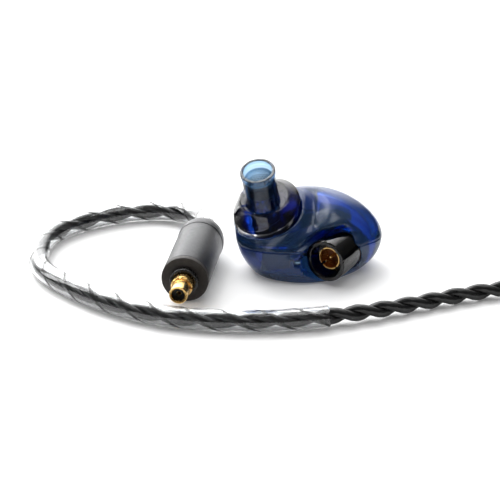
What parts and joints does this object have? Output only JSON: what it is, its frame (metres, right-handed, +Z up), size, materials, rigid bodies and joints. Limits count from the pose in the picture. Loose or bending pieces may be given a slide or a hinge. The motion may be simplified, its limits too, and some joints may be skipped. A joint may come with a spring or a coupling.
{
  "type": "in-ear monitor",
  "caption": "Translucent blue universal-fit in-ear monitor lying beside its detached coaxial plug, clear ear hook and twisted black cable.",
  "frame": {"origin": "under the centre of the earpiece's box, on the surface it rests on", "axes": "+Z up, +X along the earpiece from the nozzle end to its nose, -Y to the side the cable socket faces"},
  "size_m": [0.1163, 0.0599, 0.0177],
  "materials": {
    "shell_blue": "polished translucent deep-blue acrylic",
    "nozzle_blue": "polished translucent blue acrylic",
    "boss_blue": "polished near-black blue acrylic",
    "grille_metal": "satin dark perforated screen",
    "damper": "fine woven acoustic screen",
    "gold": "polished gold plating",
    "amber_insulator": "amber moulded insulator",
    "driver_can": "satin steel can",
    "board": "solder-masked board",
    "chip": "ceramic",
    "wire": "enamelled copper",
    "clear_tube": "clear soft tube",
    "plug_grey": "fine blasted dark grey",
    "plug_black": "matt black-brown moulding",
    "dark_insulator": "matt black",
    "clear_sleeve": "clear glossy tube",
    "cable_black": "glossy black jacket",
    "tie_black": "woven hook-and-loop strap",
    "jack_grey": "fine blasted dark grey"
  },
  "bodies": {
    "earpiece": {"faceplate_cup": "shell_blue", "upper_shell": "shell_blue", "nozzle_collar": "shell_blue", "nozzle_tube": "nozzle_blue", "nozzle_grille": "grille_metal", "nozzle_damper": "damper", "vent_screen": "grille_metal", "socket_boss": "boss_blue", "socket_ring": "gold", "socket_insulator": "amber_insulator", "socket_pin": "gold", "socket_back": "amber_insulator", "driver_bass": "driver_can", "driver_mid": "driver_can", "driver_high": "driver_can", "crossover_board": "board", "crossover_parts": "chip", "lead_wires": "wire", "sound_tube_bass": "clear_tube", "sound_tube_mid": "clear_tube", "sound_tube_high": "clear_tube"},
    "cable_arm": {"plug_housing": "plug_grey", "plug_disc": "plug_black", "plug_boot": "plug_grey", "plug_core": "dark_insulator", "plug_collar": "plug_black", "plug_barrel": "gold", "plug_insulator": "dark_insulator", "plug_contact": "gold", "hook_sleeve": "clear_sleeve", "cable_run": "cable_black", "cable_coil": "cable_black", "coil_tie": "tie_black", "cable_tail": "cable_black", "jack_boot": "plug_black", "jack_housing": "jack_grey", "jack_insulator": "dark_insulator", "jack_sleeve": "gold", "jack_ring": "gold", "jack_tip": "gold"},
    "snap_ring": {"plug_snap_ring": "gold"}
  },
  "joints": [
    {"name": "cable_arm_lift", "type": "slide", "parent": "earpiece", "child": "cable_arm", "axis": [0, 0, 1], "range_m": [0, 0.04]},
    {"name": "snap_ring_spin", "type": "hinge", "parent": "cable_arm", "child": "snap_ring", "pos_m": [-0.01793, -0.0142, 0.0034], "axis": [-0.1478, -0.989, 0], "continuous": true}
  ]
}
